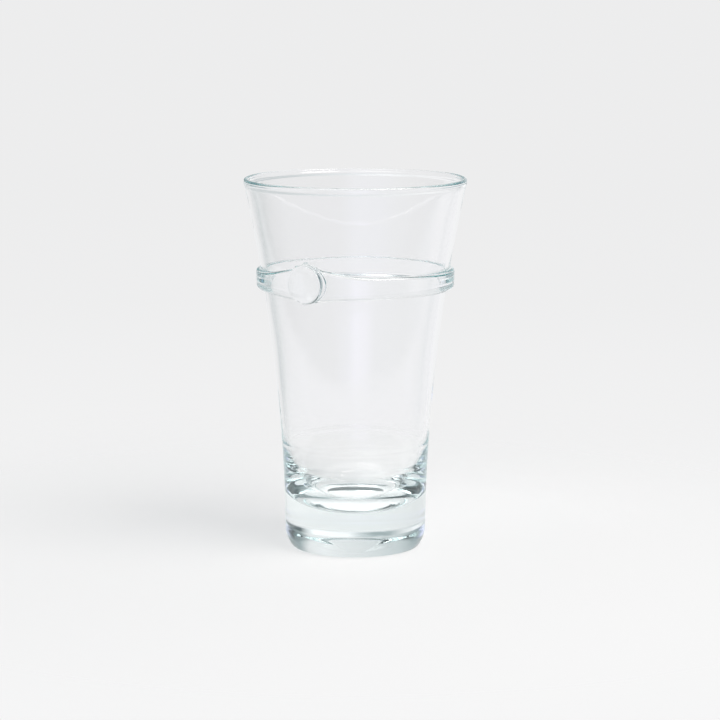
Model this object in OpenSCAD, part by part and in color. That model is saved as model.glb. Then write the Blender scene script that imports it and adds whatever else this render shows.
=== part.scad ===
// Highball glass: a tumbler that flares from a heavy solid base, with a band of
// glass laid round its upper third and a round stamped seal pressed over the band.
// Z is the axis, the base stands on Z = 0 and the front faces -Y.

/* [Tumbler] */
// Overall height
height = 145; // [134:1:160]
// Outside diameter at the rim
rim_d = 86.8; // [80:0.2:96]
// Outside diameter of the base
base_d = 55.2; // [52:0.2:62]
// How late the flare opens, where 1 is a straight cone
flare_power = 2; // [1.6:0.1:2.4]
// Wall thickness at the rim
rim_wall = 1.8; // [1.4:0.1:2.6]
// Wall thickness where the wall leaves the base
low_wall = 2; // [1.6:0.1:3]
// Height of the bowl's floor above the table
floor_z = 14.8; // [12:0.2:20]
// Height over which the bowl rounds from the floor into the wall
bowl_h = 35; // [28:1:40]
// Squareness of that rounding, where 2 is an ellipse
bowl_power = 3; // [2:0.1:4]
// Rounding of the outer edge under the base
heel_r = 11; // [8:0.5:13]
// How far the heel turns in before the standing face cuts it, in degrees
heel_turn = 39; // [34:1:46]
// Diameter of the shallow hollow under the base
punt_d = 35.2; // [30:0.4:40]
// Depth of that hollow
punt_h = 2.5; // [1:0.1:3.5]

/* [Band] */
// Height of the band's middle above the table
band_z = 106.4; // [98:0.2:112]
// Height of the band
band_h = 8.4; // [6:0.2:11]
// Thickness of the band at its middle
band_t = 2.4; // [2.2:0.1:3.6]
// Rounding of the band's two edges
band_edge_r = 1.4; // [0.6:0.1:1.5]
// Lean of the band's outer face, in degrees
band_lean = 2; // [0:0.5:6]

/* [Seal] */
// Direction of the seal, in degrees left of the front
seal_turn = 29; // [-60:1:60]
// Height of the seal's middle above the band's middle
seal_rise = 1.4; // [0:0.2:3]
// Diameter of the stamped face, inside its rounded edge
seal_d = 13.6; // [11:0.2:16]
// How far the face stands out from the band
seal_t = 1.9; // [1.2:0.1:3]
// Rounding of the face's edge
seal_edge_r = 0.5; // [0.3:0.1:1.2]
// Steepness of the seal's side, in degrees
seal_side = 80; // [60:1:84]
// Depth of the dish stamped into the face
seal_dish = 0.1; // [0.05:0.05:0.4]
// Width of the slope round that dish
seal_slope = 2.5; // [1:0.1:4]

/* [Hidden] */
$fn = 120;
glass_colour = [0.86, 0.93, 0.94];

// Steps along each stretch of the outlines
punt_steps = 6;
round_steps = 8;
bowl_steps = 20;
low_wall_steps = 16;
band_steps = 4;
high_wall_steps = 6;

rim_r = rim_d / 2;
base_r = base_d / 2;
punt_r = punt_d / 2;
punt_curve_r = (punt_r * punt_r + punt_h * punt_h) / (2 * punt_h);
bowl_top = floor_z + bowl_h;
heel_top = heel_r * sin(heel_turn);

// The lip is a half circle as wide as the wall, turned to meet the flare
lip_r = rim_wall / 2;
lip_lean = atan(flare_power * (rim_r - base_r) / height);
lip_centre = [rim_r - lip_r, height - lip_r];
flare_top = lip_centre.y - lip_r * sin(lip_lean);
flare_r = lip_centre.x + lip_r * cos(lip_lean);

band_low = band_z - band_h / 2;
band_high = band_z + band_h / 2;
band_r = wall_r(band_z) + band_t;
// The circles that round the band's edges have their centres a step above and below this point
band_middle = [band_r - band_edge_r / cos(band_lean), band_z];
band_step = (band_h / 2 - band_edge_r) * [tan(band_lean), 1];

seal_r = seal_d / 2;
seal_z = band_z + seal_rise;
seal_face = band_r + seal_t;
seal_foot = wall_r(seal_z);
// The side starts where the rounded edge has turned to its steepness
seal_side_top = [seal_r, seal_face] + seal_edge_r * [sin(seal_side), cos(seal_side) - 1];
seal_foot_r = seal_side_top.x + (seal_side_top.y - seal_foot) / tan(seal_side);
// The seal is drawn from this far out, well inside the wall, and then cut to fit
seal_root = seal_foot - seal_foot_r;

// Radius, lean and thickness of the wall at a height, and the radius inside it
function wall_r(z) = base_r + (flare_r - base_r) * pow(z / flare_top, flare_power);
function wall_lean(z) =
    atan(flare_power * (flare_r - base_r) / flare_top * pow(z / flare_top, flare_power - 1));
function wall_t(z) = low_wall + (rim_wall - low_wall) * z / flare_top;
function inside_r(z) = wall_r(z) - wall_t(z) / cos(wall_lean(z));

// Stretches of an outline. One made by steps_after leaves out its first point,
// because the stretch before it ends there.
function steps_after(steps) = [for (i = [1:steps]) i / steps];
function wall_points(from, to, steps) =
    [for (t = steps_after(steps)) let (z = from * (1 - t) + to * t) [wall_r(z), z]];
function inside_points(from, to, steps) =
    [for (t = steps_after(steps)) let (z = from * (1 - t) + to * t) [inside_r(z), z]];
function arc_after(centre, r, from, to) =
    [for (t = steps_after(round_steps))
        let (a = from + (to - from) * t)
        centre + r * [cos(a), sin(a)]];
function arc(centre, r, from, to) =
    concat([centre + r * [cos(from), sin(from)]], arc_after(centre, r, from, to));

// Hollow under the base: a shallow cap of a sphere
function punt_points() =
    [for (t = steps_after(punt_steps))
        let (a = t * asin(punt_r / punt_curve_r))
        [punt_curve_r * sin(a), punt_curve_r * (cos(a) - 1) + punt_h]];

// Inside of the bowl: a squared quarter ellipse from the wall down to the middle of the floor
function bowl_points() =
    [for (t = steps_after(bowl_steps))
        let (z = bowl_top - bowl_h * pow(sin(90 * t), 2 / bowl_power))
        [inside_r(z) * pow(cos(90 * t), 2 / bowl_power), z]];

// Outside of the tumbler, from under the heel to the lip. The points along the
// band are the band's own, so that the two meet face to face.
function below_band() =
    concat(
        arc([wall_r(heel_top) - heel_r, heel_top], heel_r, -heel_turn, 0),
        wall_points(heel_top, band_low, low_wall_steps));
function along_band() = wall_points(band_low, band_high, band_steps);
function above_band() =
    concat(
        wall_points(band_high, flare_top, high_wall_steps),
        arc_after(lip_centre, lip_r, -lip_lean, 180 - lip_lean));

// Outside of the band, from its lower edge to its upper edge
function band_face() =
    concat(
        arc(band_middle - band_step, band_edge_r, -90, -band_lean),
        arc(band_middle + band_step, band_edge_r, -band_lean, 90));
function reversed(points) = [for (i = [len(points) - 1:-1:0]) points[i]];

// Heavy-based tumbler: the outside, the inside, the floor and the hollow below
module tumbler() {
    inside_top = lip_centre.y + lip_r * sin(lip_lean);
    color(glass_colour)
        rotate_extrude()
            polygon(concat(
                [[0, punt_h]],
                punt_points(),
                below_band(),
                along_band(),
                above_band(),
                inside_points(inside_top, bowl_top, low_wall_steps),
                bowl_points()));
}

// Tumbler with its inside filled and its band on, to cut what is pressed over both
module banded_blank() {
    rotate_extrude()
        polygon(concat(
            [[0, 0]],
            below_band(),
            band_face(),
            [[wall_r(band_high), band_high]],
            above_band(),
            [[0, lip_centre.y]]));
}

// Band: the wall's own line inside, a leaning face and two rounded edges outside
module band() {
    color(glass_colour)
        rotate_extrude()
            polygon(concat(
                [[wall_r(band_low), band_low]],
                along_band(),
                reversed(band_face())));
}

// Seal: a round gob with a faintly dished face, cut to sit on the band and the wall
module seal() {
    dish = seal_face - seal_dish;
    color(glass_colour)
        difference() {
            translate([0, 0, seal_z])
                rotate([90, 0, -seal_turn])
                    rotate_extrude()
                        polygon(concat(
                            [[0, seal_root], [seal_foot_r, seal_root], [seal_foot_r, seal_foot]],
                            arc([seal_r, seal_face - seal_edge_r], seal_edge_r, 90 - seal_side, 90),
                            [[seal_r - seal_slope, dish], [0, dish]]));
            banded_blank();
        }
}

tumbler();
band();
seal();
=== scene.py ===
import bpy
import numpy as np
from math import atan, cos, radians, sin, tan
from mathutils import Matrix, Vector


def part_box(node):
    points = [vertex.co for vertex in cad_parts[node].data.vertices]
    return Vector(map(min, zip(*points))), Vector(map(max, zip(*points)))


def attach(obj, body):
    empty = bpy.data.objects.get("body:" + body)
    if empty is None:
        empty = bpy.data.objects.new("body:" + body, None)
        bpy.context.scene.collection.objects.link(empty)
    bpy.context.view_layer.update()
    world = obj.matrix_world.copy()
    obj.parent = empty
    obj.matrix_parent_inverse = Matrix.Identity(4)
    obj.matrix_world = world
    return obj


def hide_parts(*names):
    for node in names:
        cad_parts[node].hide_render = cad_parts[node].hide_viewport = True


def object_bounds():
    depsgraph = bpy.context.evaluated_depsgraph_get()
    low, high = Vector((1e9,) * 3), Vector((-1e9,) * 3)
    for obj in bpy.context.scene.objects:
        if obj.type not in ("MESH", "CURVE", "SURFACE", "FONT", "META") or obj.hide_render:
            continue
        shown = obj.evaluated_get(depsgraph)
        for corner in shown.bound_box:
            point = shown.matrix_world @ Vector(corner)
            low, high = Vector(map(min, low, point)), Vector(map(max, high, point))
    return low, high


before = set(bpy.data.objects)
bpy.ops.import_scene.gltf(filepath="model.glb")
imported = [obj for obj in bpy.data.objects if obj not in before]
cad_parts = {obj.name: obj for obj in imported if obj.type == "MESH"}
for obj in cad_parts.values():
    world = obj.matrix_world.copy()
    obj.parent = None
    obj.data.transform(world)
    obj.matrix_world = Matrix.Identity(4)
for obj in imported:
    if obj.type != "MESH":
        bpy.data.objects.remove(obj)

cadLow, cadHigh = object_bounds()
mm = 0.001  # the pieces' sizes are in millimetres, the studio's and Blender's are in metres
inAir = -1.0  # weld value where a surface meets air, and above 0 it lies inside another piece's glass

# Tumbler: a flared wall on a heavy base, all one gather of glass
tumblerSizes = {
    "height": cadHigh.z / mm,
    "rimRadius": (cadHigh.x - cadLow.x) / 2 / mm,
    "baseRadius": 27.6,
    "flarePower": 2.0,
    "rimWall": 1.8,
    "lowWall": 2.0,
    "floorHeight": 14.8,
    "bowlHeight": 35.0,
    "bowlPower": 3.0,  # 2 is an ellipse, more is squarer
    "heelRadius": 11.0,
    "heelTurnDegrees": 39.0,  # how far the heel turns in before the standing face cuts it off
    "puntRadius": 17.6,
    "puntDepth": 2.5,
    "lipBead": 0.18,  # the fire-polished lip is this much thicker on each side
    "lipBeadBelow": 1.1,
    "lipBeadWidth": 0.7,
    "lipBeadFade": 0.5,
    "ringHeights": (33.0, 41.0),  # faint rings left inside by the mould
    "ringSwell": 0.06,
    "ringWidth": 0.8,
    "waveSwell": 0.02,  # slow unevenness of the inside
    "waves": [(1.0, 4, 6.0, 1.0), (0.7, 7, -8.0, 2.4), (0.6, 3, -4.0, 4.1)],  # share, turns, climb, start
    "waveFade": 25.0,  # stretch below the lip over which the waves die out
    "floorCalm": 4,  # power by which the unevenness dies out towards the middle of the floor
    "columns": 280,
    "puntRows": 18,
    "standingRows": 8,
    "heelRows": 20,
    "lowWallRows": 46,
    "bandWallRows": 24,
    "highWallRows": 44,
    "lipCrowding": 2.2,  # how much those rows close up towards the lip
    "lipRows": 16,
    "underLip": 4.0,  # stretch of the inside with closer rows
    "underLipRows": 24,
    "insideRows": 52,
    # stretches of the bowl's quarter turn, closer at the mould's rings: end as a share, rows
    "bowlRows": [(0.055, 6), (0.108, 18), (0.18, 4), (0.252, 18), (1.0, 40)],
    "cornerGap": 0.01,  # share of the standing face and of the hollow between a corner and the next row
    "heelCornerGap": 0.02,
}

lipRadius = tumblerSizes["rimWall"] / 2
lipLean = atan(tumblerSizes["flarePower"]
               * (tumblerSizes["rimRadius"] - tumblerSizes["baseRadius"]) / tumblerSizes["height"])
lipCentre = np.array([tumblerSizes["rimRadius"] - lipRadius, tumblerSizes["height"] - lipRadius])
flareTop = lipCentre[1] - lipRadius * sin(lipLean)
insideTop = lipCentre[1] + lipRadius * sin(lipLean)
flareGain = lipCentre[0] + lipRadius * cos(lipLean) - tumblerSizes["baseRadius"]


# Swelling of the lip below a height: a bell curve that fades to nothing at the lip itself
def lipSwell(z, top):
    below = np.maximum(top - z, 0)
    bell = np.exp(-((below - tumblerSizes["lipBeadBelow"]) / tumblerSizes["lipBeadWidth"]) ** 2)
    return tumblerSizes["lipBead"] * bell * (1 - np.exp(-(below / tumblerSizes["lipBeadFade"]) ** 2))


# Outer radius: the base radius plus a share of the flare that grows with a power of the height
def wallRadius(z):
    flare = flareGain * (z / flareTop) ** tumblerSizes["flarePower"]
    return tumblerSizes["baseRadius"] + flare + lipSwell(z, flareTop)


# Inner radius: the outer one less the wall's thickness, measured square to the leaning wall
def insideRadius(z):
    power = tumblerSizes["flarePower"]
    slope = power * flareGain / flareTop * (z / flareTop) ** (power - 1)
    thickness = tumblerSizes["lowWall"] + (tumblerSizes["rimWall"] - tumblerSizes["lowWall"]) * z / flareTop
    flare = tumblerSizes["baseRadius"] + flareGain * (z / flareTop) ** power
    return flare - thickness * np.sqrt(1 + slope ** 2) - lipSwell(z, insideTop)


# Unevenness of the inside: slow sine waves that wind round it and die out at the lip, and bell-shaped rings
def insideUnevenness(z, angle):
    sizes = tumblerSizes
    waves = sum(share * np.sin(turns * angle + z / climb + start)
                for share, turns, climb, start in sizes["waves"])
    fade = np.clip((insideTop - z) / sizes["waveFade"], 0, 1)
    rings = sum(np.exp(-((z - ring) / sizes["ringWidth"]) ** 2) for ring in sizes["ringHeights"])
    return sizes["waveSwell"] * waves * fade + sizes["ringSwell"] * rings


# Band: a trail of glass round the wall, spread wider where the seal was pressed
bandBox = [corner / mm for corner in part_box("band")]
bandSizes = {
    "low": bandBox[0].z,
    "high": bandBox[1].z,
    "thickness": 2.4,
    "edgeRadius": 1.4,
    "leanDegrees": 2.0,
    "riseAtSeal": 3.2,
    "dropAtSeal": 1.2,
    "spreadAtSeal": 15.0,  # along the band
    "dropAtBack": 1.0,  # the trail was laid a little low behind
    "sink": 0.2,  # how far its back goes into the wall, so that no air is left between
    "columns": 480,
    "sealCrowding": 3.0,  # how much the columns close up towards the seal
    "backRows": 16,
    "shelfRows": 5,
    "edgeRows": 14,
    "faceRows": 14,
}

# Seal: a stamped disc with a faintly dished face and a steep edge, on a collar squeezed out along the band
sealSizes = {
    "turnDegrees": -29.0,  # left of the front
    "rise": 1.4,
    "faceRadius": 6.8,
    "proud": 1.9,
    "edgeRadius": 0.5,
    "dish": 0.1,
    "dishSlope": 2.5,
    "sideDegrees": 78.0,
    "sideFall": 1.2,
    "collar": 0.8,  # along the band, where it is widest
    "collarDegrees": 34.0,
    "collarFocus": 4,  # power of a cosine that keeps the collar near the band's own direction
    "footDegrees": 86.0,
    "footAlongBandDegrees": 76.0,
    "footFall": 6.0,  # enough to be lost in the wall
    "sink": 0.8,
    "leastDepth": 0.1,  # between front and back, where both are lost in the wall
    "columns": 240,
    "dishRows": 40,
    "edgeRows": 12,
    "sideRows": 5,
    "collarRows": 8,
    "footRows": 36,
}

bandMiddle = (bandSizes["low"] + bandSizes["high"]) / 2
bandRadius = wallRadius(bandMiddle) + bandSizes["thickness"]
sealTurn = radians(sealSizes["turnDegrees"])
sealHeight = bandMiddle + sealSizes["rise"]
sealOut = np.array([sin(sealTurn), -cos(sealTurn)])
sealAcross = np.array([cos(sealTurn), sin(sealTurn)])


# Band edges at an angle from the front: bulging up and down near the seal as a bell curve, with the upper
# one sinking towards the back as a cosine
def bandEdges(angle):
    along = (angle - sealTurn) * bandRadius
    bell = np.exp(-(along / bandSizes["spreadAtSeal"]) ** 2)
    sunk = bandSizes["dropAtBack"] * (1 - np.cos(angle)) / 2
    low = bandSizes["low"] - bandSizes["dropAtSeal"] * bell
    high = bandSizes["high"] - sunk + bandSizes["riseAtSeal"] * bell
    return low, high


# Outer radius of wall and band together: between the band's edges its leaning face, drawn in near each edge
# along a quarter circle, and elsewhere the wall
def dressedRadius(height, angle):
    low, high = bandEdges(angle)
    edge = bandSizes["edgeRadius"]
    face = bandRadius + (height - bandMiddle) * tan(radians(bandSizes["leanDegrees"]))
    near = np.clip(edge - np.minimum(height - low, high - height), 0, edge)
    rounded = face - edge + np.sqrt(edge ** 2 - near ** 2)
    return np.where((height > low) & (height < high), rounded, wallRadius(height))


# Seal's front: distances beyond the face's edge, and falls below the face, where its edge, side and collar
# end, and the foot's slope. The collar is widest along the band, at a turn of 0 about the seal's own axis,
# and the foot is flattest there.
def sealBreaks(turn):
    side = radians(sealSizes["sideDegrees"])
    along = np.cos(turn) ** sealSizes["collarFocus"]
    collar = sealSizes["collar"] * along
    footGain = sealSizes["footAlongBandDegrees"] - sealSizes["footDegrees"]
    footSlope = np.tan(np.radians(sealSizes["footDegrees"] + footGain * along))
    edgeEnd = sealSizes["edgeRadius"] * sin(side)
    edgeFall = sealSizes["edgeRadius"] * (1 - cos(side))
    sideEnd = edgeEnd + sealSizes["sideFall"] / tan(side)
    sideFall = edgeFall + sealSizes["sideFall"]
    collarFall = sideFall + collar * tan(radians(sealSizes["collarDegrees"]))
    return (edgeEnd, sideEnd, sideEnd + collar), (edgeFall, sideFall, collarFall), footSlope


# Seal's front at a distance from its axis: a dish, a rounded edge, a side, a collar and a foot
def sealLevel(away, turn):
    ends, falls, footSlope = sealBreaks(turn)
    edge = sealSizes["edgeRadius"]
    beyond = away - sealSizes["faceRadius"]
    inward = np.clip(-beyond / sealSizes["dishSlope"], 0, 1)
    dish = sealSizes["dish"] * inward ** 2 * (3 - 2 * inward)  # a smooth step
    rounded = edge - np.sqrt(np.maximum(edge ** 2 - beyond ** 2, 0))
    side = falls[0] + tan(radians(sealSizes["sideDegrees"])) * (beyond - ends[0])
    collar = falls[1] + tan(radians(sealSizes["collarDegrees"])) * (beyond - ends[1])
    foot = falls[2] + footSlope * (beyond - ends[2])
    fall = np.select([beyond < 0, beyond < ends[0], beyond < ends[1], beyond < ends[2]],
                     [dish, rounded, side, collar], foot)
    return bandRadius + sealSizes["proud"] - fall


# How deep a point lies inside the seal's gob: the front's level there less how far out the point is
def depthInSeal(points):
    ahead = points[..., :2] @ sealOut
    across, up = points[..., :2] @ sealAcross, points[..., 2] - sealHeight
    depth = sealLevel(np.hypot(across, up), np.arctan2(up, across)) - ahead
    return np.where(ahead > 0, np.maximum(depth, inAir), inAir)


# Stretch of steps from 0 to 1 without its first step, as a column
def steps(count):
    return (np.arange(1, count + 1) / count)[:, None]


# Points of rings about the axis: radius and height on a grid, angle measured from the front
def ringPoints(radius, height, angle):
    return np.stack([radius * np.sin(angle), -radius * np.cos(angle), height + 0 * radius], -1)


# Closed mesh from a grid of points: rows run round, and either wrap or end in two poles
def gridObject(name, grid, weld, poles):
    rows, columns = grid.shape[:2]
    index = np.arange(rows * columns).reshape(rows, columns)
    if poles:
        index[0], index[-1] = 0, 1
        index[1:-1] = np.arange((rows - 2) * columns).reshape(rows - 2, columns) + 2
        points = np.concatenate([grid[:1, 0], grid[-1:, 0], grid[1:-1].reshape(-1, 3)])
        values = np.concatenate([weld[:1, 0], weld[-1:, 0], weld[1:-1].ravel()])
        pairs = [(index[i], index[i + 1]) for i in range(1, rows - 2)]
    else:
        points, values = grid.reshape(-1, 3), weld.ravel()
        pairs = [(index[i], index[(i + 1) % rows]) for i in range(rows)]
    quads = np.concatenate([np.stack([a, np.roll(a, -1), np.roll(b, -1), b], -1) for a, b in pairs])
    faces = quads.tolist()
    if poles:
        first, last = index[1], index[-2]
        faces += np.stack([np.full(columns, 0), np.roll(first, -1), first], -1).tolist()
        faces += np.stack([np.full(columns, 1), last, np.roll(last, -1)], -1).tolist()
    corner = points[quads]
    volume = np.einsum("ij,ij->i", corner[:, 0], np.cross(corner[:, 1], corner[:, 2])).sum()
    if volume < 0:  # inside out
        faces = [face[::-1] for face in faces]
    mesh = bpy.data.meshes.new(name)
    mesh.from_pydata((points * mm).tolist(), [], faces)
    mesh.attributes.new("weld", "FLOAT", "POINT").data.foreach_set("value", values.astype(np.float32))
    mesh.shade_smooth()
    mesh.update()
    piece = bpy.data.objects.new(name, mesh)
    bpy.context.scene.collection.objects.link(piece)
    print(name, "made:", len(points), "points,", len(faces), "faces")
    return piece


# Tumbler: hollow, standing face, heel, wall, lip, inside wall, bowl and floor, carried round the axis. The
# hollow is a cap of a sphere, the heel and the lip are arcs, and the bowl is a squared quarter ellipse.
def makeTumbler():
    sizes = tumblerSizes
    angle = np.linspace(-np.pi, np.pi, sizes["columns"], endpoint=False)[None, :]
    flat = np.ones_like(angle)
    low, high = bandEdges(angle)
    heelTurn = radians(sizes["heelTurnDegrees"])
    heel = sizes["heelRadius"] * sin(heelTurn)
    heelCentre = wallRadius(heel) - sizes["heelRadius"]
    gap = sizes["heelCornerGap"]
    turn = heelTurn * (np.concatenate([[[0.0], [gap]], gap + (1 - gap) * steps(sizes["heelRows"])]) - 1)
    heelEdge = heelCentre + sizes["heelRadius"] * np.cos(turn)
    heelHeight = heel + sizes["heelRadius"] * np.sin(turn)
    gap = sizes["cornerGap"]
    punt = sizes["puntRadius"] * np.concatenate([[[0.0]], (1 - gap) * steps(sizes["puntRows"]), [[1.0]]])
    puntCurve = (sizes["puntRadius"] ** 2 + sizes["puntDepth"] ** 2) / (2 * sizes["puntDepth"])
    puntHeight = np.sqrt(puntCurve ** 2 - punt ** 2) - puntCurve + sizes["puntDepth"]
    between = np.concatenate([[[gap]], steps(sizes["standingRows"])[:-1], [[1 - gap]]])
    standing = sizes["puntRadius"] + (heelEdge[0] - sizes["puntRadius"]) * between
    lowWall = heel + (low - heel) * steps(sizes["lowWallRows"])
    bandWall = low + (high - low) * steps(sizes["bandWallRows"])
    highWall = high + (flareTop - high) * (1 - (1 - steps(sizes["highWallRows"])) ** sizes["lipCrowding"])
    lipTurn = -lipLean + np.pi * steps(sizes["lipRows"])
    bowlTop = sizes["floorHeight"] + sizes["bowlHeight"]
    underLip = insideTop - sizes["underLip"]
    inside = np.concatenate([insideTop + (underLip - insideTop) * steps(sizes["underLipRows"]),
                             underLip + (bowlTop - underLip) * steps(sizes["insideRows"])])
    starts = [0.0] + [end for end, rows in sizes["bowlRows"]]
    bowl = radians(90) * np.concatenate([start + (end - start) * steps(rows)
                                         for start, (end, rows) in zip(starts, sizes["bowlRows"])])
    bowlHeight = bowlTop - sizes["bowlHeight"] * np.sin(bowl) ** (2 / sizes["bowlPower"])
    bowlEdge = insideRadius(bowlHeight) * np.maximum(np.cos(bowl), 0) ** (2 / sizes["bowlPower"])
    bowlCalm = (bowlEdge / bowlEdge[0]) ** sizes["floorCalm"]
    outerRadius = [punt * flat, standing * flat, heelEdge * flat,
                   wallRadius(lowWall), wallRadius(bandWall), wallRadius(highWall)]
    outerHeight = [puntHeight * flat, 0 * standing * flat, heelHeight * flat,
                   lowWall, bandWall, highWall]
    innerRadius = [(lipCentre[0] + lipRadius * np.cos(lipTurn)) * flat,
                   insideRadius(inside) - insideUnevenness(inside, angle),
                   bowlEdge - insideUnevenness(bowlHeight, angle) * bowlCalm]
    innerHeight = [(lipCentre[1] + lipRadius * np.sin(lipTurn)) * flat, inside * flat, bowlHeight * flat]
    radius = np.concatenate(outerRadius + innerRadius)
    height = np.concatenate(outerHeight + innerHeight)
    grid = ringPoints(radius, height, angle)
    weld = np.full(grid.shape[:2], inAir)
    outerRows = sum(len(part) for part in outerRadius)
    outer = grid[:outerRows]
    underBand = np.minimum(outer[..., 2] - low, high - outer[..., 2])
    weld[:outerRows] = np.maximum(underBand, depthInSeal(outer))
    return gridObject("tumbler", grid, weld, True)


# Band: a section with a leaning face and rounded edges, its back sunk into the wall, carried round the axis
def makeBand():
    sizes = bandSizes
    even = np.linspace(-1, 1, sizes["columns"], endpoint=False)
    near = np.sinh(even * sizes["sealCrowding"]) / np.sinh(sizes["sealCrowding"])
    angle = (sealTurn + np.pi * near)[None, :]
    low, high = bandEdges(angle)
    lean = radians(sizes["leanDegrees"])
    edge = sizes["edgeRadius"]
    middle = bandRadius - edge / cos(lean)
    edgeSteps = np.concatenate([[[0.0]], steps(sizes["edgeRows"])])
    upTurn = radians(90) + (-lean - radians(90)) * edgeSteps
    downTurn = -lean + (lean - radians(90)) * edgeSteps
    upCentre = high - edge
    lowCentre = low + edge
    upRadius = middle + (upCentre - bandMiddle) * tan(lean)
    lowRadius = middle + (lowCentre - bandMiddle) * tan(lean)
    back = low + (high - low) * steps(sizes["backRows"])
    shelf = steps(sizes["shelfRows"])[:-1]
    face = steps(sizes["faceRows"])[:-1]
    radius = [wallRadius(low), wallRadius(low) - sizes["sink"], wallRadius(back) - sizes["sink"],
              wallRadius(high), wallRadius(high) + (upRadius - wallRadius(high)) * shelf,
              upRadius + edge * np.cos(upTurn),
              upRadius + edge * cos(lean) + (lowRadius - upRadius) * face,
              lowRadius + edge * np.cos(downTurn),
              lowRadius + (wallRadius(low) - lowRadius) * shelf]
    height = [low, low, back,
              high, high + 0 * shelf,
              upCentre + edge * np.sin(upTurn),
              upCentre - edge * sin(lean) + (lowCentre - upCentre) * face,
              lowCentre + edge * np.sin(downTurn),
              low + 0 * shelf]
    grid = ringPoints(np.concatenate(radius), np.concatenate(height), angle)
    weld = np.full(grid.shape[:2], inAir)
    backRows = 2 + len(back)
    weld[0], weld[1:backRows], weld[backRows] = 0.0, 1.0, 0.0  # on the wall, inside it, and on it again
    weld[backRows + 1:] = np.maximum(weld[backRows + 1:], depthInSeal(grid[backRows + 1:]))
    return gridObject("band", grid, weld, False)


# Seal: its front profile turned about the axis that points out of the wall, with a back sunk into the wall
def makeSeal():
    sizes = sealSizes
    turn = np.linspace(0, 2 * np.pi, sizes["columns"], endpoint=False)[None, :]
    ends, _, footSlope = sealBreaks(turn)
    flat = 0 * turn
    dish = sizes["faceRadius"] * (np.concatenate([[[0.0]], steps(sizes["dishRows"])]) - 1) + flat
    rounded = sizes["edgeRadius"] * np.sin(radians(sizes["sideDegrees"]) * steps(sizes["edgeRows"])) + flat
    side = ends[0] + (ends[1] - ends[0]) * steps(sizes["sideRows"]) + flat
    collar = ends[1] + (ends[2] - ends[1]) * steps(sizes["collarRows"])
    foot = ends[2] + sizes["footFall"] / footSlope * steps(sizes["footRows"])
    out = sizes["faceRadius"] + np.concatenate([dish, rounded, side, collar, foot])
    across = out * np.cos(turn)
    height = sealHeight + out * np.sin(turn)
    back = np.sqrt((wallRadius(height) - sizes["sink"]) ** 2 - across ** 2)
    front = np.maximum(sealLevel(out, turn), back + sizes["leastDepth"])
    ahead = np.concatenate([front, back[::-1]])
    across = np.concatenate([across, across[::-1]])
    height = np.concatenate([height, height[::-1]])
    angle = sealTurn + np.arctan2(across, ahead)
    buried = dressedRadius(height, angle) - np.hypot(across, ahead)
    weld = np.clip(buried, inAir, 1)
    place = ahead[..., None] * sealOut + across[..., None] * sealAcross
    grid = np.concatenate([place, height[..., None]], -1)
    return gridObject("seal", grid, weld, True)


# Clear glass: faint blue-green by depth, slow ripples from hand working, and no bending at the welds
glassLook = {
    "absorbed": (0.72, 0.92, 0.92, 1),
    "density": 5.5,
    "ior": 1.5,
    "weldedIor": 1.001,  # inside another piece's glass light goes straight on
    "rippleScale": 140.0,
    "rippleDetail": 1.0,
    "ripple": 0.03,
    "rippleDepth": 0.001,
}


def clearGlass():
    look = bpy.data.materials.new("clearGlass")
    look.use_nodes = True
    nodes, links = look.node_tree.nodes, look.node_tree.links
    nodes.clear()
    output = nodes.new("ShaderNodeOutputMaterial")
    glass = nodes.new("ShaderNodeBsdfPrincipled")
    glass.inputs["Base Color"].default_value = (1, 1, 1, 1)
    glass.inputs["Roughness"].default_value = 0.0
    glass.inputs["Transmission Weight"].default_value = 1.0
    depth = nodes.new("ShaderNodeVolumeAbsorption")
    depth.inputs["Color"].default_value = glassLook["absorbed"]
    depth.inputs["Density"].default_value = glassLook["density"]
    weld = nodes.new("ShaderNodeAttribute")
    weld.attribute_name = "weld"
    welded = nodes.new("ShaderNodeMath")
    welded.operation = "GREATER_THAN"
    welded.inputs[1].default_value = 0.0
    bend = nodes.new("ShaderNodeMapRange")
    bend.inputs["To Min"].default_value = glassLook["ior"]
    bend.inputs["To Max"].default_value = glassLook["weldedIor"]
    links.new(weld.outputs["Fac"], welded.inputs[0])
    links.new(welded.outputs[0], bend.inputs["Value"])
    links.new(bend.outputs["Result"], glass.inputs["IOR"])
    place = nodes.new("ShaderNodeTexCoord")
    ripple = nodes.new("ShaderNodeTexNoise")
    ripple.inputs["Scale"].default_value = glassLook["rippleScale"]
    ripple.inputs["Detail"].default_value = glassLook["rippleDetail"]
    bump = nodes.new("ShaderNodeBump")
    bump.inputs["Strength"].default_value = glassLook["ripple"]
    bump.inputs["Distance"].default_value = glassLook["rippleDepth"]
    links.new(place.outputs["Object"], ripple.inputs["Vector"])
    links.new(ripple.outputs["Fac"], bump.inputs["Height"])
    links.new(bump.outputs["Normal"], glass.inputs["Normal"])
    links.new(glass.outputs[0], output.inputs["Surface"])
    links.new(depth.outputs[0], output.inputs["Volume"])
    print("clear glass made")
    return look


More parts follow.
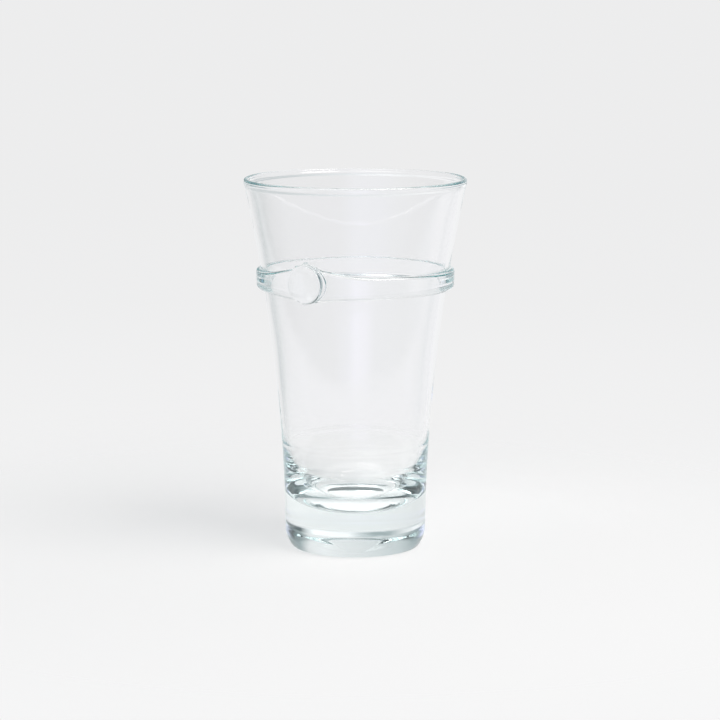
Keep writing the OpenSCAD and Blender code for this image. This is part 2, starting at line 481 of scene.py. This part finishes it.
# Studio: a pale floor that keeps the shadow, a pale backdrop in a darker room, and one soft lamp
studioLook = {
    "floorShade": (0.387, 0.387, 0.387, 1),  # share of the floor's paleness that takes light and shadow
    "floorGlow": 0.576,  # share that is its plain pale colour
    "paintedPoolUnderBase": 0.3,  # painted pool of light under the base, standing in for light that the base gathers there
    "paintedPoolFade": (0.018, 0.025),
    "floorFade": (0.09, 0.32),  # distances between which the floor passes into the backdrop
    "floorMargin": 0.02,
    "floorDrop": 0.0003,  # a hair of air under the base, as under a real one
    "fill": (0.425, 0.45, 0.47, 1),
    "lamp": {"place": (0.42, -0.34, 0.85), "size": 0.6, "power": 5.6, "colour": (1, 0.95, 0.91)},
    # what the camera sees past the floor: height of the line of sight, level; the levels are painted shade,
    # darker towards the horizon where light falls off over the far floor
    "backdrop": [(-1, 0.925), (-0.29, 0.922), (-0.25, 0.914), (-0.215, 0.896), (-0.186, 0.88),
                 (-0.163, 0.871), (-0.141, 0.856), (-0.1, 0.847), (1, 0.847)],
    "backdropBlue": 1.004,
    # what the glass shows, ring by ring upwards: degrees to the right of straight behind, level, daylight
    "rings": [
        [(-180, 0.94, 0.4), (-135, 0.88, 0.3), (-105, 0.84, 0.2), (-75, 0.78, 0.1), (-60, 0.68), (-45, 0.5),
         (-30, 0.78), (-20, 0.85), (0, 0.88), (25, 0.9), (45, 0.92, 0.1), (75, 0.92, 0.2), (105, 0.92, 0.2),
         (135, 0.92, 0.3), (180, 0.94, 0.4)],
        [(-180, 1.25, 1.4), (-165, 1.0, 1.4), (-150, 0.4, 0.6), (-105, 0.25), (-75, 0.5), (-60, 0.9),
         (-45, 1.0), (-30, 0.75), (-20, 0.45), (-10, 0.4), (-4, 0.6), (4, 1.05), (25, 1.15), (32, 0.7),
         (40, 0.12), (60, 0.08), (105, 0.1), (145, 0.12), (168, 0.55, 1.4), (180, 1.25, 1.4)],
        [(-180, 0.45, 1.4), (-150, 0.4, 1.4), (-130, 0.2), (-105, 0.03), (-75, 0.06), (-50, 0.36),
         (-30, 0.62), (0, 0.78), (20, 0.9), (32, 0.82), (42, 0.4), (60, 0.2), (105, 0.1), (135, 0.03),
         (162, 0.04), (180, 0.45, 1.4)],
        [(-180, 0.4), (-150, 0.55), (-125, 0.25), (-105, 0.05), (-75, 0.02), (-45, 0.08), (-25, 0.6),
         (-10, 0.85), (15, 1.1), (45, 0.55), (75, 0.22), (105, 0.08), (135, 0.06), (165, 0.02), (180, 0.4)],
        [(-180, 1.4), (-168, 3.0), (-128, 3.0), (-105, 0.2), (-50, 0.04), (0, 0.12), (45, 0.3), (90, 1.0),
         (150, 1.2), (180, 1.4)],
    ],
    "ringsFrom": [(-0.03, 0.03), (0.1, 0.16), (0.3, 0.38), (0.6, 0.68)],  # heights of the line of sight
    "zenith": 0.3,
    "zenithFrom": (0.87, 0.94),
    # red, green and blue of a level of 1, and what darkness and daylight add to them
    "plainTone": (1.0, 1.0, 1.01),
    "darkTone": (-0.3, 0.04, 0.08),
    "darkBelow": 0.8,
    "daylightTone": (-0.02, -0.05, 0.22),
}


# Plain grey of a level
def grey(level):
    return (level, level, level * studioLook["backdropBlue"], 1)


# Tone of a level in the room: blue-green where it is dark, and bluish where daylight comes in
def tone(level, daylight=0.0):
    dark = max(0, 1 - level / studioLook["darkBelow"])
    channels = zip(studioLook["plainTone"], studioLook["darkTone"], studioLook["daylightTone"])
    red, green, blue = (level * (plain + darker * dark + day * daylight) for plain, darker, day in channels)
    return (red, green, blue, 1)


# Small helpers for node trees: maths, a smooth step from 0 to 1, a ramp of shades and a mix of colours
def mathNode(tree, operation, *values):
    node = tree.nodes.new("ShaderNodeMath")
    node.operation = operation
    for socket, value in zip(node.inputs, values):
        if isinstance(value, (int, float)):
            socket.default_value = value
        else:
            tree.links.new(value, socket)
    return node.outputs[0]


def stepNode(tree, value, span):
    node = tree.nodes.new("ShaderNodeMapRange")
    node.interpolation_type = "SMOOTHSTEP"
    node.inputs["From Min"].default_value, node.inputs["From Max"].default_value = span
    tree.links.new(value, node.inputs["Value"])
    return node.outputs["Result"]


def rampNode(tree, value, stops, colour):
    first, last = stops[0][0], stops[-1][0]
    span = tree.nodes.new("ShaderNodeMapRange")
    span.inputs["From Min"].default_value = first
    span.inputs["From Max"].default_value = last
    colours = tree.nodes.new("ShaderNodeValToRGB")
    elements = colours.color_ramp.elements
    while len(elements) < len(stops):
        elements.new(0.5)
    for element, (where, *shade) in zip(elements, stops):
        element.position = (where - first) / (last - first)
        element.color = colour(*shade)
    tree.links.new(value, span.inputs["Value"])
    tree.links.new(span.outputs["Result"], colours.inputs["Fac"])
    return colours.outputs["Color"]


def mixNode(tree, share, first, second):
    node = tree.nodes.new("ShaderNodeMix")
    node.data_type = "RGBA"
    names = {"Factor_Float": share, "A_Color": first, "B_Color": second}
    for socket in node.inputs:
        value = names.get(socket.identifier)
        if isinstance(value, tuple):
            socket.default_value = value
        elif value is not None:
            tree.links.new(value, socket)
    return next(socket for socket in node.outputs if socket.identifier == "Result_Color")


# 1 for a ray that glass mirrored or let through, and 0 for any other
def glassRays(tree, rays):
    return mathNode(tree, "MAXIMUM", rays.outputs["Is Glossy Ray"], rays.outputs["Is Transmission Ray"])


# Floor: a square sheet that takes shadow, glows where it is looked at, glows brighter in a painted pool of
# light under the base, and passes into the backdrop
def makeFloor():
    mesh = bpy.data.meshes.new("floor")
    size = studioLook["floorFade"][1] + studioLook["floorMargin"]
    drop = -studioLook["floorDrop"]
    corners = [(-size, -size, drop), (size, -size, drop), (size, size, drop), (-size, size, drop)]
    mesh.from_pydata(corners, [], [(0, 1, 2, 3)])
    floor = bpy.data.objects.new("floor", mesh)
    bpy.context.scene.collection.objects.link(floor)
    paper = bpy.data.materials.new("paleFloor")
    paper.use_nodes = True
    tree = paper.node_tree
    tree.nodes.clear()
    output = tree.nodes.new("ShaderNodeOutputMaterial")
    shade = tree.nodes.new("ShaderNodeBsdfDiffuse")
    shade.inputs["Color"].default_value = studioLook["floorShade"]
    rays = tree.nodes.new("ShaderNodeLightPath")
    seen = mathNode(tree, "MAXIMUM", rays.outputs["Is Camera Ray"], glassRays(tree, rays))
    place = tree.nodes.new("ShaderNodeTexCoord")
    away = tree.nodes.new("ShaderNodeVectorMath")
    away.operation = "LENGTH"
    tree.links.new(place.outputs["Object"], away.inputs[0])
    # Painted pool of light: the floor glows brighter under the base, standing in for light that the base
    # would gather there
    beyondBase = stepNode(tree, away.outputs["Value"], studioLook["paintedPoolFade"])
    paintedPoolUnderBase = mathNode(tree, "SUBTRACT", 1.0, beyondBase)
    paintedPoolGlow = mathNode(tree, "MULTIPLY", paintedPoolUnderBase, studioLook["paintedPoolUnderBase"])
    paleness = mathNode(tree, "ADD", studioLook["floorGlow"], paintedPoolGlow)
    glow = tree.nodes.new("ShaderNodeEmission")
    tree.links.new(mathNode(tree, "MULTIPLY", seen, paleness), glow.inputs["Strength"])
    both = tree.nodes.new("ShaderNodeAddShader")
    tree.links.new(shade.outputs[0], both.inputs[0])
    tree.links.new(glow.outputs[0], both.inputs[1])
    clear = tree.nodes.new("ShaderNodeBsdfTransparent")
    mix = tree.nodes.new("ShaderNodeMixShader")
    tree.links.new(stepNode(tree, away.outputs["Value"], studioLook["floorFade"]), mix.inputs["Fac"])
    tree.links.new(both.outputs[0], mix.inputs[1])
    tree.links.new(clear.outputs[0], mix.inputs[2])
    tree.links.new(mix.outputs[0], output.inputs["Surface"])
    mesh.materials.append(paper)


# Room: the backdrop for the camera, the rings and the zenith for the glass, and an even fill for the floor
def makeRoom():
    world = bpy.data.worlds.new("room")
    bpy.context.scene.world = world
    world.use_nodes = True
    tree = world.node_tree
    tree.nodes.clear()
    output = tree.nodes.new("ShaderNodeOutputWorld")
    background = tree.nodes.new("ShaderNodeBackground")
    place = tree.nodes.new("ShaderNodeTexCoord")
    split = tree.nodes.new("ShaderNodeSeparateXYZ")
    tree.links.new(place.outputs["Generated"], split.inputs[0])
    rise = split.outputs["Z"]
    bearing = mathNode(tree, "DEGREES", mathNode(tree, "ARCTAN2", split.outputs["X"], split.outputs["Y"]))
    seen = rampNode(tree, bearing, studioLook["rings"][0], tone)
    for span, stops in zip(studioLook["ringsFrom"], studioLook["rings"][1:]):
        seen = mixNode(tree, stepNode(tree, rise, span), seen, rampNode(tree, bearing, stops, tone))
    seen = mixNode(tree, stepNode(tree, rise, studioLook["zenithFrom"]), seen, tone(studioLook["zenith"]))
    rays = tree.nodes.new("ShaderNodeLightPath")
    lit = mixNode(tree, glassRays(tree, rays), studioLook["fill"], seen)
    # Backdrop for camera rays, with painted shade darker towards the horizon
    backdrop = rampNode(tree, rise, studioLook["backdrop"], grey)
    final = mixNode(tree, rays.outputs["Is Camera Ray"], lit, backdrop)
    tree.links.new(final, background.inputs["Color"])
    tree.links.new(background.outputs[0], output.inputs["Surface"])


def makeLamp():
    look = studioLook["lamp"]
    lamp = bpy.data.lights.new("softLamp", "AREA")
    lamp.size = look["size"]
    lamp.energy = look["power"]
    lamp.color = look["colour"]
    holder = bpy.data.objects.new("softLamp", lamp)
    holder.location = look["place"]
    holder.rotation_euler = (-Vector(look["place"])).to_track_quat("-Z", "Y").to_euler()
    holder.visible_transmission = False  # it lights the floor, and the glass shows the room
    bpy.context.scene.collection.objects.link(holder)


def makeStudio():
    makeFloor()
    makeRoom()
    makeLamp()
    print("studio made")


# Camera: a long lens from the front, a little above the rim
cameraView = {
    "lens": 131.0,
    "distance": 1.028,
    "pitchDegrees": 9.4,
    "aim": (0.0018, 0.0, 0.0733),
    "clip": (0.01, 50.0),
}


def makeCamera():
    data = bpy.data.cameras.new("camera")
    data.lens = cameraView["lens"]
    data.clip_start, data.clip_end = cameraView["clip"]
    camera = bpy.data.objects.new("camera", data)
    pitch = radians(cameraView["pitchDegrees"])
    aim = Vector(cameraView["aim"])
    camera.location = aim + cameraView["distance"] * Vector((0, -cos(pitch), sin(pitch)))
    camera.rotation_euler = (radians(90) - pitch, 0, 0)
    bpy.context.scene.collection.objects.link(camera)
    bpy.context.scene.camera = camera
    print("camera made")


glass = clearGlass()
for piece, node in ((makeTumbler(), "tumbler"), (makeBand(), "band"), (makeSeal(), "seal")):
    piece.data.materials.append(glass)
    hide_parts(node)
    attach(piece, "root")
makeStudio()
makeCamera()

# Light runs a long way inside the rim and the band before it comes out, so the glass needs many bounces
bounces = {"glass": 300, "clear": 40}
settings = bpy.context.scene
settings.view_settings.view_transform = "Standard"
settings.cycles.blur_glossy = 0.0  # thin bright lines stay sharp
settings.cycles.max_bounces = bounces["glass"]
settings.cycles.transmission_bounces = bounces["glass"]
settings.cycles.glossy_bounces = bounces["glass"]
settings.cycles.transparent_max_bounces = bounces["clear"]
